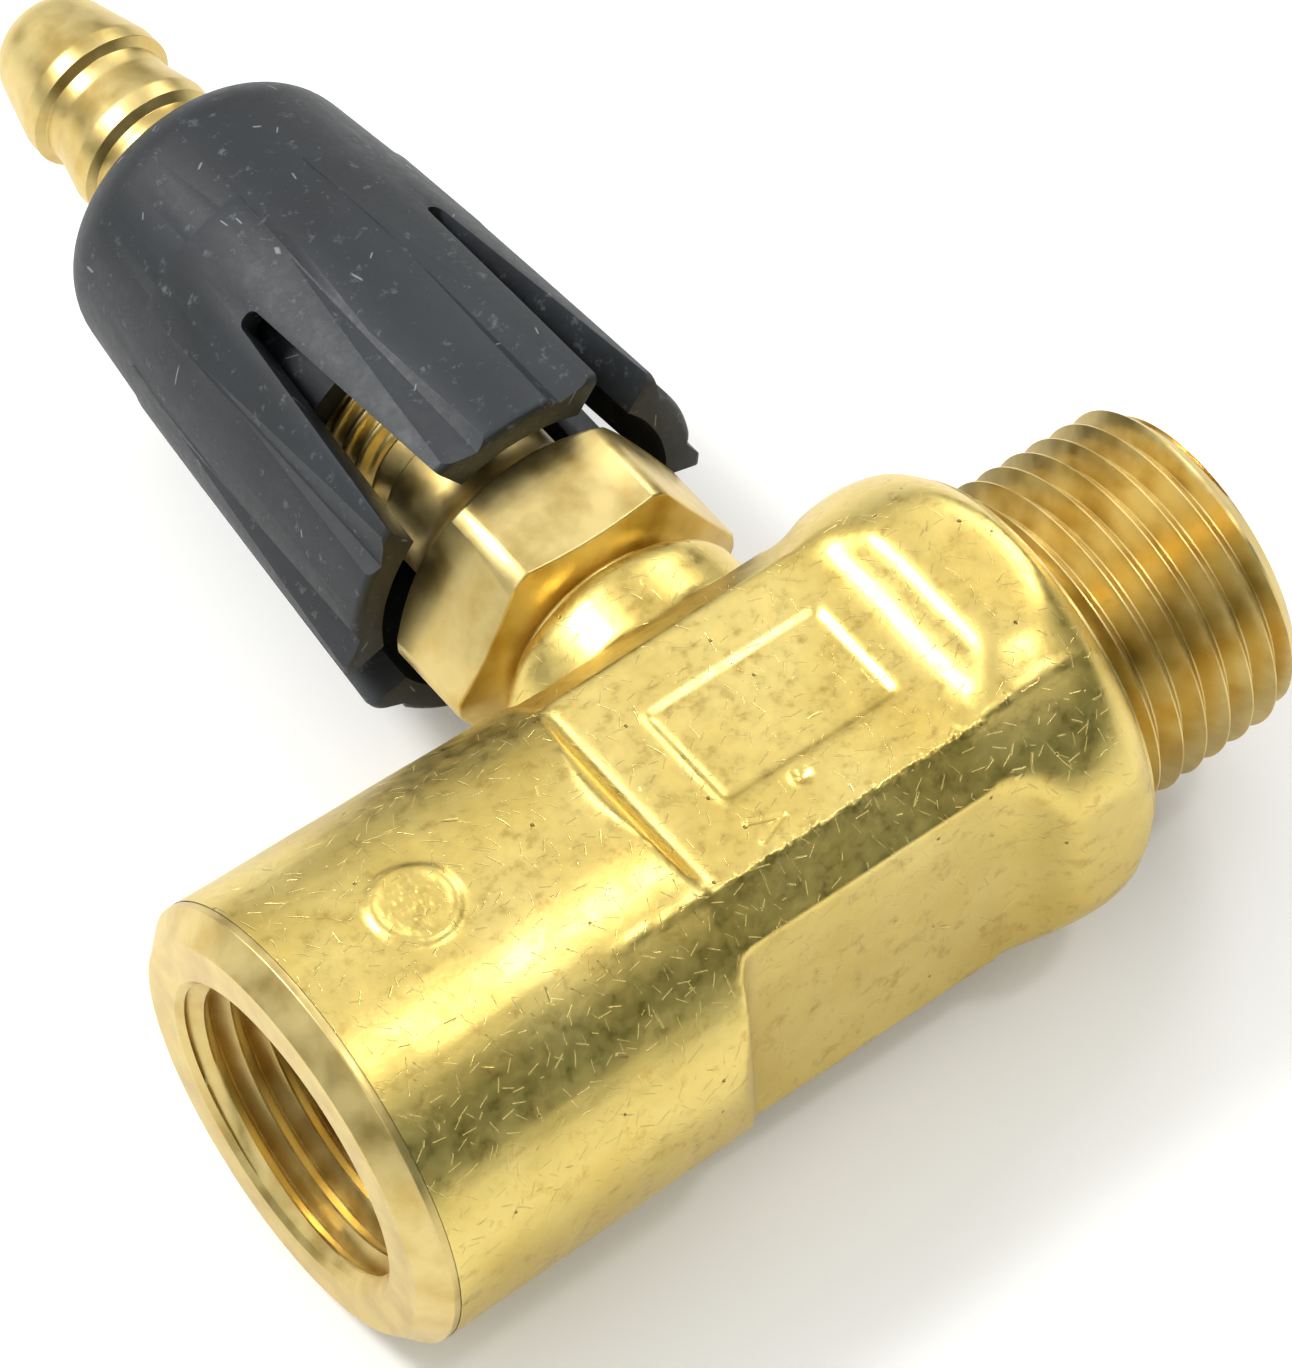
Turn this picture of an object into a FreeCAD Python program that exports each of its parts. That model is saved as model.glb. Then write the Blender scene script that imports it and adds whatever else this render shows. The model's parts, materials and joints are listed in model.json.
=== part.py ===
import FreeCAD, Part
import math
import os

os.makedirs("parts", exist_ok=True)

# Chemical injector in millimetres: the run lies along X from the inlet face,
# the branch stands on it along +Y and carries the metering knob and the hose barb.

# Clearances
SEAT = 0.05
RUNNING = 0.05
BALL_GAP = 0.07

# Inlet boss
BOSS_RADIUS = 11.5
BOSS_TAPER = 0.4
BOSS_LENGTH = 18.45
BOSS_CHAMFER = 1.2
INLET_RADIUS = 7.4
INLET_DEPTH = 15.0
MARK_RADIUS = 2.05
MARK_HEIGHT = 0.15
MARK_X = 8.2

# Chamfered square mid-section
MIDDLE_LENGTH = 16.75
HALF_HEIGHT = 9.0
HALF_WIDTH = 8.6
FACET_DISTANCE = 10.85
SHOULDER_RUN = 1.05
SHOULDER_ROUND = 2.0
FOOT_ROUND = 1.3
FLANGE_FOOT_ROUND = 2.6
FACET_ROUND = 1.0
FACET_SLOPE = 1.1
PANEL_LENGTH = 10.1
PANEL_WIDTH = 6.4
PANEL_SHIFT = 0.2
PANEL_DEPTH = 0.3

# Flange and male pipe thread, 3/8 inch with a taper of 1 in 16
FLANGE_RADIUS = 11.5
FLANGE_RIM = 9.9
FLANGE_LENGTH = 6.9
FLANGE_HALF_FLATS = 10.6
FLANGE_CROWN = 6.0
FLANGE_EDGE_ROUND = 1.2
THREAD_RADIUS = 8.57
THREAD_LENGTH = 10.3
THREAD_CHAMFER = 1.0
PIPE_TAPER = 1 / 32
OUTLET_RADIUS = 5.5
OUTLET_DEPTH = 5.4

# Water passage
JET_BORE_LENGTH = 10.0
JET_RADIUS = 4.95
JET_ORIFICE = 1.05
JET_TIP_LENGTH = 1.5
CHAMBER_RADIUS = 3.6
CHAMBER_LENGTH = 4.0
DIFFUSER_RADIUS = 4.4
THROAT_RADIUS = 1.45
THROAT_LENGTH = 4.0
DIFFUSER_MOUTH = 2.4
DIFFUSER_EXIT = 3.4
DIFFUSER_COLLAR = 5.4
DIFFUSER_COLLAR_LENGTH = 1.5
RING_WIRE = 0.42
RING_GROOVE = 1.1

# Branch boss
BRANCH_X = 28.1
BRANCH_RADIUS = 6.9
BRANCH_TOP = 12.95
BRANCH_ROUND = 1.6
BRANCH_FLOOR = 6.5
PASSAGE_RADIUS = 2.5
GLAND_RADIUS = 5.0

# Hex gland
COLLAR_RADIUS = 5.25
COLLAR_LENGTH = 0.35
HEX_ACROSS_FLATS = 14.29
HEX_CORNER_RADIUS = 8.0
HEX_RISE = 0.7
HEX_SIDE = 4.95
FLARE_LENGTH = 2.35
FLARE_ROUND = 2.5
NECK_RADIUS = 4.5
NECK_LENGTH = 3.7
RELIEF_RADIUS = 3.9
RELIEF_LENGTH = 1.6
KNOB_THREAD_RADIUS = 4.75
KNOB_THREAD_LENGTH = 9.4
KNOB_THREAD_CHAMFER = 0.4
POCKET_RADIUS = 3.6
POCKET_DEPTH = 8.0

# Check valve
PORT_RADIUS = 1.1
PORT_CONE = 2.2
PORT_CONE_DEPTH = 0.9
SEAT_THICKNESS = 2.4
BALL_RADIUS = 1.6
SPRING_RADIUS = 1.1
SPRING_WIRE = 0.2
SPRING_TURNS = 3
RETAINER_THICKNESS = 0.7
RETAINER_HOLE = 0.65
RETAINER_HOLES = 5

# Stem with its needle and hose barb
STEM_RADIUS = 2.9
STEM_BORE = 1.3
STEM_LOW = 1.0
STEM_WAIST_RADIUS = 2.3
STEM_WAIST_LENGTH = 5.0
STEM_WEB = 0.5
CROSS_HOLE = 0.8
NEEDLE_RADIUS = 1.25
NEEDLE_TIP = 0.9
NEEDLE_TAPER_LENGTH = 2.0
NEEDLE_LENGTH = 6.9
NEEDLE_LIFT = 0.5
STEM_RING_SPACING = 4.0
STEM_RING_START = 2.0
CLIP_GROOVE = 0.5
CLIP_THICKNESS = 0.55
CLIP_RADIUS = 3.8
WASHER_THICKNESS = 0.5
WASHER_RADIUS = 4.6
ROOT_RADIUS = 3.5
ROOT_NECK = 3.45
BARB_RADIUS = 3.97
BARB_LAND = 0.9
BARB_STEP = 0.6
BARB_PITCH = 4.3
BARB_NOSE_LENGTH = 5.95
BARB_NOSE_RADIUS = 2.8
BARB_NOSE_ROUND = 2.7

# Knob
KNOB_GAP = 0.75
SKIRT_LENGTH = 16.8
LAND_RADIUS = 9.9
LIP_RADIUS = 10.45
SHOULDER_RADIUS = 9.0
CROWN_RADIUS = 7.83
CROWN_RISE = 10.14
CROWN_ROUND = 3.6
CROWN_TOP_RISE = 2.0
SKIRT_BLEND = 30.0
RIM_ROUND = 0.4
CAVITY_RADIUS = 8.3
CAVITY_DRAFT = 0.6
CROWN_THICKNESS = 5.6
HUB_RADIUS = 6.35
HUB_RECESS = 10.0
HUB_LIP = 0.8
NUT_RADIUS = 5.6
NUT_LENGTH = 7.5
WASHER_ROOM = 2.6
STEM_SLEEVE = 5.4
SLOTS = 5
SLOT_ANGLE = 52.75
SLOT_MOUTH = 3.5
SLOT_APEX = 1.0
SLOT_LENGTH = 14.4
LIP_WIDTH = 7.0
LIP_SLOPE = 0.6
GROOVE_ANGLE = 21.5
GROOVE_WIDTH = 1.5
GROOVE_DEPTH = 0.35
GROOVE_FADE = 0.025

# Places along the run
middle_start = BOSS_LENGTH + SHOULDER_RUN
middle_end = middle_start + MIDDLE_LENGTH - SHOULDER_RUN
flange_end = middle_end + FLANGE_LENGTH
run_end = flange_end + THREAD_LENGTH
boss_end_radius = BOSS_RADIUS - BOSS_TAPER
jet_end = INLET_DEPTH + JET_BORE_LENGTH
diffuser_start = jet_end + CHAMBER_LENGTH
pocket_start = run_end - OUTLET_DEPTH
thread_end_radius = THREAD_RADIUS - THREAD_LENGTH * PIPE_TAPER

# Places along the branch
hex_foot = BRANCH_TOP + COLLAR_LENGTH
hex_low = hex_foot + HEX_RISE
hex_top = hex_low + HEX_SIDE
neck_start = hex_top + FLARE_LENGTH
relief_start = neck_start + NECK_LENGTH
thread_start = relief_start + RELIEF_LENGTH
gland_top = thread_start + KNOB_THREAD_LENGTH
pocket_top = BRANCH_FLOOR + POCKET_DEPTH
seat_low = pocket_top - SEAT_THICKNESS
knob_low = hex_top + KNOB_GAP
shoulder_y = knob_low + SKIRT_LENGTH
crown_y = shoulder_y + CROWN_RISE
knob_top = crown_y + CROWN_TOP_RISE
hub_low = knob_low + HUB_RECESS
nut_low = hub_low + HUB_LIP
nut_top = nut_low + NUT_LENGTH
sleeve_low = nut_top + WASHER_ROOM
sleeve_top = sleeve_low + STEM_SLEEVE
needle_tip = pocket_top + NEEDLE_LIFT
stem_low = needle_tip + NEEDLE_LENGTH - STEM_LOW - STEM_WEB
web_low = stem_low + STEM_LOW + STEM_WEB
waist_top = stem_low + STEM_WAIST_LENGTH
root_step = knob_top + SEAT
barb_low = root_step + 2 * BARB_LAND + RUNNING
ball_contact = math.sqrt((BALL_RADIUS + BALL_GAP) ** 2 - PORT_RADIUS ** 2)
ball_y = seat_low - ball_contact

ORIGIN = FreeCAD.Vector(0, 0, 0)
RUN = FreeCAD.Vector(1, 0, 0)
BRANCH = FreeCAD.Vector(0, 1, 0)
BRANCH_FOOT = FreeCAD.Vector(BRANCH_X, 0, 0)
SAME_POINT = 1e-6
PAST = 1.0


def corner_points(before, here, after):
    # One point at a sharp corner, or the start, middle and end of the arc that rounds it.
    corner = FreeCAD.Vector(here[0], here[1], 0)
    if len(here) == 2:
        return [corner]
    back = (FreeCAD.Vector(before[0], before[1], 0) - corner).normalize()
    ahead = (FreeCAD.Vector(after[0], after[1], 0) - corner).normalize()
    half = back.getAngle(ahead) / 2
    inward = (back + ahead).normalize()
    reach = here[2] / math.tan(half)
    centre = corner + inward * (here[2] / math.sin(half))
    return [corner + back * reach, centre - inward * here[2], corner + ahead * reach]


def outline(corners):
    # Flat face through (a, b) corners in order; a third value rounds its corner.
    count = len(corners)
    stops = [corner_points(corners[i - 1], corners[i], corners[(i + 1) % count]) for i in range(count)]
    edges = []
    for i, stop in enumerate(stops):
        last = stops[i - 1][-1]
        if last.distanceToPoint(stop[0]) > SAME_POINT:
            edges.append(Part.makeLine(last, stop[0]))
        if len(stop) == 3:
            edges.append(Part.Arc(*stop).toShape())
    return Part.Face(Part.Wire(edges))


def turned_on_run(corners):
    # Corners are (place along X, radius).
    return outline(corners).revolve(ORIGIN, RUN, 360)


def turned_on_branch(corners):
    # Corners are (radius, place along Y).
    face = outline(corners)
    face.translate(BRANCH_FOOT)
    return face.revolve(BRANCH_FOOT, BRANCH, 360)


def bore_on_run(radius, start, end):
    return Part.makeCylinder(radius, end - start, FreeCAD.Vector(start, 0, 0), RUN)


def bore_on_branch(radius, start, end):
    return Part.makeCylinder(radius, end - start, FreeCAD.Vector(BRANCH_X, start, 0), BRANCH)


def prism(corners, depth, place):
    # A flat outline pushed by depth along +Z from its place.
    face = outline(corners)
    face.translate(place)
    return face.extrude(FreeCAD.Vector(0, 0, depth))


def facing(solid, angle):
    # Turns a solid that faces +Z about the branch to an angle counted from +X towards +Z.
    turned = solid.copy()
    turned.rotate(BRANCH_FOOT, BRANCH, 90 - angle)
    return turned


def ring_on_run(floor_radius, place):
    return Part.makeTorus(floor_radius + SEAT / 2 + RING_WIRE, RING_WIRE, FreeCAD.Vector(place, 0, 0), RUN)


def ring_on_branch(floor_radius, place):
    centre = FreeCAD.Vector(BRANCH_X, place, 0)
    return Part.makeTorus(floor_radius + SEAT / 2 + RING_WIRE, RING_WIRE, centre, BRANCH)


def groove_floor(bore_radius):
    # Floor of a groove whose ring just clears the bore round it.
    return bore_radius - SEAT - 2 * RING_WIRE


def flat_cutter(distance, turn):
    # Slab that leaves a flat at a distance from the run's axis, with the boss's rounded
    # shoulder at one end and the flange's hollow foot at the other.
    above = BOSS_RADIUS + PAST
    corners = [(BOSS_LENGTH - 3 * SHOULDER_ROUND, BOSS_RADIUS + PAST / 4),
               (BOSS_LENGTH, boss_end_radius - SEAT, SHOULDER_ROUND),
               (middle_start, distance, FOOT_ROUND),
               (middle_end, distance, FLANGE_FOOT_ROUND),
               (middle_end + above - distance, above),
               (middle_end + above - distance, above + PAST),
               (BOSS_LENGTH - 3 * SHOULDER_ROUND, above + PAST)]
    slab = prism(corners, 2 * above, FreeCAD.Vector(0, 0, -above))
    slab.rotate(ORIGIN, RUN, turn)
    return slab


def facet_cutter(turn):
    # Slab that takes one corner off the square mid-section.
    above = BOSS_RADIUS + PAST
    corners = [(middle_start - 2 * FACET_SLOPE, above),
               (middle_start, FACET_DISTANCE, FACET_ROUND),
               (middle_end, FACET_DISTANCE, FACET_ROUND),
               (middle_end + 2 * FACET_SLOPE, above)]
    slab = prism(corners, 2 * above, FreeCAD.Vector(0, 0, -above))
    slab.rotate(ORIGIN, RUN, turn)
    return slab


def flange_cutter(turn):
    above = FLANGE_RADIUS + PAST
    slab = Part.makeBox(FLANGE_LENGTH + PAST, 2 * above, above, FreeCAD.Vector(middle_end - PAST, -above,
                                                                             FLANGE_HALF_FLATS))
    slab.rotate(ORIGIN, RUN, turn)
    return slab


def forging():
    # Round blank along the run with four flats, four facets, the flange and the branch boss.
    crown_x = middle_end + FLANGE_LENGTH * 0.55
    edge_x = flange_end - FLANGE_EDGE_ROUND
    edge_radius = FLANGE_RIM + FLANGE_EDGE_ROUND
    blank = turned_on_run([
        (0, 0),
        (0, BOSS_RADIUS - BOSS_CHAMFER),
        (BOSS_CHAMFER, BOSS_RADIUS),
        (BOSS_LENGTH, boss_end_radius),
        (middle_end, boss_end_radius),
        (crown_x, FLANGE_RADIUS, FLANGE_CROWN),
        (edge_x, edge_radius, FLANGE_EDGE_ROUND),
        (flange_end, FLANGE_RIM),
        (flange_end, THREAD_RADIUS),
        (run_end - THREAD_CHAMFER, thread_end_radius),
        (run_end, thread_end_radius - THREAD_CHAMFER),
        (run_end, 0)])
    for quarter in range(4):
        turn = 90 * quarter
        distance = HALF_WIDTH if quarter % 2 == 0 else HALF_HEIGHT
        blank = blank.cut(flat_cutter(distance, turn))
        blank = blank.cut(facet_cutter(turn + 45))
        blank = blank.cut(flange_cutter(turn))
    boss = turned_on_branch([
        (0, 0),
        (BRANCH_RADIUS, 0),
        (BRANCH_RADIUS, BRANCH_TOP, BRANCH_ROUND),
        (0, BRANCH_TOP)])
    return blank.fuse(boss)


def foundry_mark():
    # Plain round mark that stands a little proud of the inlet boss.
    disc = Part.makeCylinder(MARK_RADIUS, BOSS_RADIUS + MARK_HEIGHT, FreeCAD.Vector(MARK_X, 0, 0))
    skin = turned_on_run([
        (0, INLET_RADIUS + PAST),
        (0, BOSS_RADIUS + MARK_HEIGHT),
        (BOSS_LENGTH, boss_end_radius + MARK_HEIGHT),
        (BOSS_LENGTH, INLET_RADIUS + PAST)])
    return disc.common(skin)


def body():
    panel_corner = FreeCAD.Vector(BRANCH_X - PANEL_LENGTH / 2, PANEL_SHIFT - PANEL_WIDTH / 2,
                                  HALF_HEIGHT - PANEL_DEPTH)
    panel = Part.makeBox(PANEL_LENGTH, PANEL_WIDTH, PAST, panel_corner)
    passages = [
        bore_on_run(INLET_RADIUS, -PAST, INLET_DEPTH),
        bore_on_run(JET_RADIUS + SEAT, INLET_DEPTH, jet_end),
        bore_on_run(CHAMBER_RADIUS, jet_end, diffuser_start),
        bore_on_run(DIFFUSER_RADIUS + SEAT, diffuser_start, pocket_start),
        bore_on_run(OUTLET_RADIUS, pocket_start, run_end + PAST),
        bore_on_branch(PASSAGE_RADIUS, 0, BRANCH_FLOOR),
        bore_on_branch(GLAND_RADIUS + SEAT, BRANCH_FLOOR, BRANCH_TOP + PAST)]
    solid = forging().fuse(foundry_mark()).cut(panel)
    for passage in passages:
        solid = solid.cut(passage)
    return solid


def jet_nozzle():
    # Converging nozzle seated on the step at the end of its bore.
    floor = groove_floor(JET_RADIUS + SEAT)
    groove = INLET_DEPTH + JET_BORE_LENGTH / 3
    return turned_on_run([
        (INLET_DEPTH, JET_RADIUS - PAST),
        (INLET_DEPTH, JET_RADIUS),
        (groove, JET_RADIUS),
        (groove, floor),
        (groove + RING_GROOVE, floor),
        (groove + RING_GROOVE, JET_RADIUS),
        (jet_end, JET_RADIUS),
        (jet_end, CHAMBER_RADIUS - PAST),
        (jet_end + JET_TIP_LENGTH, JET_ORIFICE + PAST),
        (jet_end + JET_TIP_LENGTH, JET_ORIFICE),
        (jet_end, JET_ORIFICE, PAST)])


def jet_o_ring():
    floor = groove_floor(JET_RADIUS + SEAT)
    return ring_on_run(floor, INLET_DEPTH + JET_BORE_LENGTH / 3 + RING_GROOVE / 2)


def diffuser():
    # Venturi throat that widens to the outlet, with a collar seated in the outlet pocket.
    floor = groove_floor(DIFFUSER_RADIUS + SEAT)
    groove = diffuser_start + DIFFUSER_RADIUS + PAST
    throat = diffuser_start + 2 * (DIFFUSER_MOUTH - THROAT_RADIUS)
    return turned_on_run([
        (diffuser_start, DIFFUSER_MOUTH),
        (diffuser_start, DIFFUSER_RADIUS),
        (groove, DIFFUSER_RADIUS),
        (groove, floor),
        (groove + RING_GROOVE, floor),
        (groove + RING_GROOVE, DIFFUSER_RADIUS),
        (pocket_start, DIFFUSER_RADIUS),
        (pocket_start, DIFFUSER_COLLAR),
        (pocket_start + DIFFUSER_COLLAR_LENGTH, DIFFUSER_COLLAR),
        (pocket_start + DIFFUSER_COLLAR_LENGTH, DIFFUSER_EXIT),
        (throat + THROAT_LENGTH, THROAT_RADIUS),
        (throat, THROAT_RADIUS)])


def diffuser_o_ring():
    floor = groove_floor(DIFFUSER_RADIUS + SEAT)
    return ring_on_run(floor, diffuser_start + DIFFUSER_RADIUS + PAST + RING_GROOVE / 2)


def gland_hex():
    # Hexagon bar with turned corners, a shallow cone below and the long flare above.
    across = HEX_ACROSS_FLATS / 2
    flat = Part.makeBox(4 * across, hex_top + FLARE_LENGTH - hex_foot, 2 * across,
                        FreeCAD.Vector(BRANCH_X - 2 * across, hex_foot, -across))
    bar = facing(flat, 90)
    for turn in (30, 150):
        bar = bar.common(facing(flat, turn))
    turned = turned_on_branch([
        (0, hex_foot),
        (COLLAR_RADIUS, hex_foot),
        (HEX_CORNER_RADIUS, hex_low),
        (HEX_CORNER_RADIUS, hex_top),
        (NECK_RADIUS, neck_start),
        (0, neck_start)])
    return bar.common(turned)


def gland():
    floor = groove_floor(GLAND_RADIUS + SEAT)
    groove = BRANCH_FLOOR + GLAND_RADIUS / 2
    shank = turned_on_branch([
        (0, BRANCH_FLOOR),
        (GLAND_RADIUS, BRANCH_FLOOR),
        (GLAND_RADIUS, groove),
        (floor, groove),
        (floor, groove + RING_GROOVE),
        (GLAND_RADIUS, groove + RING_GROOVE),
        (GLAND_RADIUS, BRANCH_TOP),
        (COLLAR_RADIUS, BRANCH_TOP),
        (COLLAR_RADIUS, hex_foot + HEX_RISE),
        (HEX_CORNER_RADIUS - PAST, hex_low + PAST),
        (HEX_CORNER_RADIUS - PAST, hex_top),
        (NECK_RADIUS, neck_start, FLARE_ROUND),
        (NECK_RADIUS, relief_start),
        (RELIEF_RADIUS, relief_start),
        (RELIEF_RADIUS, thread_start),
        (KNOB_THREAD_RADIUS, thread_start),
        (KNOB_THREAD_RADIUS, gland_top - KNOB_THREAD_CHAMFER),
        (KNOB_THREAD_RADIUS - KNOB_THREAD_CHAMFER, gland_top),
        (0, gland_top)])
    solid = shank.fuse(gland_hex())
    solid = solid.cut(bore_on_branch(POCKET_RADIUS, BRANCH_FLOOR - PAST, pocket_top))
    return solid.cut(bore_on_branch(STEM_RADIUS + RUNNING, pocket_top, gland_top + PAST))


def gland_o_ring():
    floor = groove_floor(GLAND_RADIUS + SEAT)
    return ring_on_branch(floor, BRANCH_FLOOR + GLAND_RADIUS / 2 + RING_GROOVE / 2)


def check_seat():
    # Disc under the needle: its port is metered from above and closed by the ball from below.
    return turned_on_branch([
        (PORT_RADIUS, seat_low),
        (POCKET_RADIUS - SEAT, seat_low),
        (POCKET_RADIUS - SEAT, pocket_top),
        (PORT_CONE, pocket_top),
        (PORT_RADIUS, pocket_top - PORT_CONE_DEPTH)])


def check_ball():
    return Part.makeSphere(BALL_RADIUS, FreeCAD.Vector(BRANCH_X, ball_y, 0))


def check_spring():
    # Open coil between the retainer and the ball.
    low = BRANCH_FLOOR + RETAINER_THICKNESS + SPRING_WIRE + SEAT
    reach = BALL_RADIUS + SPRING_WIRE + SEAT
    high = ball_y - math.sqrt(reach ** 2 - SPRING_RADIUS ** 2)
    coil = Part.makeHelix((high - low) / SPRING_TURNS, high - low, SPRING_RADIUS)
    start = FreeCAD.Vector(SPRING_RADIUS, 0, 0)
    section = Part.Wire(Part.makeCircle(SPRING_WIRE, start, FreeCAD.Vector(0, 1, 0)))
    wire = Part.Wire(coil).makePipeShell([section], True, True)
    wire.rotate(ORIGIN, RUN, -90)
    wire.translate(FreeCAD.Vector(BRANCH_X, low, 0))
    return wire


def spring_retainer():
    disc = bore_on_branch(POCKET_RADIUS - SEAT, BRANCH_FLOOR, BRANCH_FLOOR + RETAINER_THICKNESS)
    for i in range(RETAINER_HOLES):
        angle = 2 * math.pi * i / RETAINER_HOLES
        reach = (SPRING_RADIUS + POCKET_RADIUS) / 2
        place = FreeCAD.Vector(BRANCH_X + reach * math.cos(angle), BRANCH_FLOOR - PAST, reach * math.sin(angle))
        disc = disc.cut(Part.makeCylinder(RETAINER_HOLE, RETAINER_THICKNESS + 2 * PAST, place, BRANCH))
    return disc


def stem_ring_places():
    first = waist_top + STEM_RING_START
    return first, first + STEM_RING_SPACING


def hose_barb():
    # Stem that slides in the gland, with two seal grooves, a clip groove and the hose barb.
    floor = groove_floor(STEM_RADIUS + RUNNING)
    groove_low, groove_high = stem_ring_places()
    clip_low = sleeve_low - WASHER_THICKNESS - CLIP_THICKNESS - 3 * RUNNING
    clip_high = sleeve_low - WASHER_THICKNESS - 2 * RUNNING
    edge_two = barb_low
    edge_one = barb_low + BARB_PITCH
    tip = edge_one + BARB_NOSE_LENGTH
    land = edge_one - BARB_LAND
    corners = [(0, stem_low), (STEM_WAIST_RADIUS, stem_low), (STEM_WAIST_RADIUS, waist_top),
               (STEM_RADIUS, waist_top)]
    for place in (groove_low, groove_high):
        corners += [(STEM_RADIUS, place), (floor, place), (floor, place + RING_GROOVE),
                    (STEM_RADIUS, place + RING_GROOVE)]
    corners += [
        (STEM_RADIUS, clip_low),
        (STEM_RADIUS - CLIP_GROOVE, clip_low),
        (STEM_RADIUS - CLIP_GROOVE, clip_high),
        (STEM_RADIUS, clip_high),
        (STEM_RADIUS, sleeve_top + RUNNING),
        (ROOT_RADIUS, sleeve_top + RUNNING),
        (ROOT_RADIUS, root_step + BARB_LAND),
        (ROOT_NECK, root_step + BARB_LAND + RUNNING),
        (ROOT_NECK, edge_two - BARB_STEP / 2),
        (BARB_RADIUS - SEAT, edge_two),
        (BARB_RADIUS, edge_two + BARB_LAND, BARB_LAND),
        (ROOT_NECK, land - BARB_STEP / 2, BARB_LAND),
        (ROOT_NECK, edge_one - BARB_STEP / 2),
        (BARB_RADIUS, edge_one),
        (BARB_RADIUS, edge_one + BARB_LAND, BARB_LAND),
        (BARB_NOSE_RADIUS, tip - BARB_STEP * 0.75, BARB_NOSE_ROUND),
        (STEM_BORE, tip),
        (STEM_BORE, web_low + STEM_WEB),
        (0, web_low + STEM_WEB)]
    solid = turned_on_branch(corners)
    solid = solid.cut(bore_on_branch(NEEDLE_RADIUS + SEAT, stem_low - PAST, web_low))
    cross_y = web_low + STEM_WEB + CROSS_HOLE + SEAT
    start = FreeCAD.Vector(BRANCH_X - STEM_RADIUS - PAST, cross_y, 0)
    return solid.cut(Part.makeCylinder(CROSS_HOLE, 2 * (STEM_RADIUS + PAST), start, RUN))


def metering_needle():
    return turned_on_branch([
        (0, needle_tip),
        (NEEDLE_TIP, needle_tip),
        (NEEDLE_RADIUS, needle_tip + NEEDLE_TAPER_LENGTH),
        (NEEDLE_RADIUS, web_low),
        (0, web_low)])


def stem_o_ring(index):
    place = stem_ring_places()[index] + RING_GROOVE / 2
    return ring_on_branch(groove_floor(STEM_RADIUS + RUNNING), place)


def thrust_washer():
    high = sleeve_low - RUNNING
    disc = bore_on_branch(WASHER_RADIUS, high - WASHER_THICKNESS, high)
    return disc.cut(bore_on_branch(STEM_RADIUS + SEAT, high - WASHER_THICKNESS - PAST, high + PAST))


def stem_circlip():
    # Open retaining ring; its gap faces +Z.
    high = sleeve_low - WASHER_THICKNESS - 2 * RUNNING
    low = high - CLIP_THICKNESS
    ring = bore_on_branch(CLIP_RADIUS, low, high)
    ring = ring.cut(bore_on_branch(STEM_RADIUS - CLIP_GROOVE + SEAT, low - PAST, high + PAST))
    gap = Part.makeBox(CLIP_RADIUS / 2, CLIP_THICKNESS + 2 * PAST, CLIP_RADIUS + PAST,
                       FreeCAD.Vector(BRANCH_X - CLIP_RADIUS / 4, low - PAST, 0))
    return ring.cut(gap)


def knob_blank():
    # Tapered skirt and domed crown, with a raised lip on both sides of every slot.
    land = turned_on_branch([
        (0, knob_low),
        (LAND_RADIUS, knob_low, RIM_ROUND),
        (SHOULDER_RADIUS, shoulder_y, SKIRT_BLEND),
        (CROWN_RADIUS, crown_y, CROWN_ROUND),
        (ROOT_RADIUS + 2 * RUNNING, knob_top),
        (0, knob_top)])
    drop = (LIP_RADIUS - SHOULDER_RADIUS) / SKIRT_LENGTH
    lip_high = shoulder_y + 3 * PAST
    lips = turned_on_branch([
        (HUB_RADIUS, knob_low),
        (LIP_RADIUS, knob_low, RIM_ROUND),
        (LIP_RADIUS - drop * (lip_high - knob_low), lip_high),
        (HUB_RADIUS, lip_high)])
    high = LIP_RADIUS + PAST
    side = (LIP_RADIUS - LAND_RADIUS) + LIP_SLOPE
    bar = outline([
        (-LIP_WIDTH / 2, 0),
        (LIP_WIDTH / 2, 0),
        (LIP_WIDTH / 2, LAND_RADIUS - LIP_SLOPE),
        (LIP_WIDTH / 2 - side, LIP_RADIUS),
        (LIP_WIDTH / 2 - side, high),
        (side - LIP_WIDTH / 2, high),
        (side - LIP_WIDTH / 2, LIP_RADIUS),
        (-LIP_WIDTH / 2, LAND_RADIUS - LIP_SLOPE)])
    bar.rotate(ORIGIN, RUN, 90)
    bar.translate(FreeCAD.Vector(BRANCH_X, knob_low - PAST, 0))
    bar = bar.extrude(FreeCAD.Vector(0, lip_high - knob_low + 2 * PAST, 0))
    blank = land
    for angle in slot_angles():
        blank = blank.fuse(lips.common(facing(bar, angle)))
    return blank


def slot_angles():
    return [SLOT_ANGLE + 360 / SLOTS * i for i in range(SLOTS)]


def slot_cutter():
    # Slot through the skirt: wide at the open end, tapering to a rounded apex.
    taper = (SLOT_MOUTH - SLOT_APEX) / 2 / SLOT_LENGTH
    corners = [(-SLOT_MOUTH / 2 - taper * PAST, knob_low - PAST),
               (SLOT_MOUTH / 2 + taper * PAST, knob_low - PAST),
               (SLOT_APEX / 2, knob_low + SLOT_LENGTH, SLOT_APEX / 2.2),
               (-SLOT_APEX / 2, knob_low + SLOT_LENGTH, SLOT_APEX / 2.2)]
    start = (HUB_RADIUS + CAVITY_RADIUS - CAVITY_DRAFT) / 2
    return prism(corners, LIP_RADIUS + PAST - start, FreeCAD.Vector(BRANCH_X, 0, start))


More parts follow.
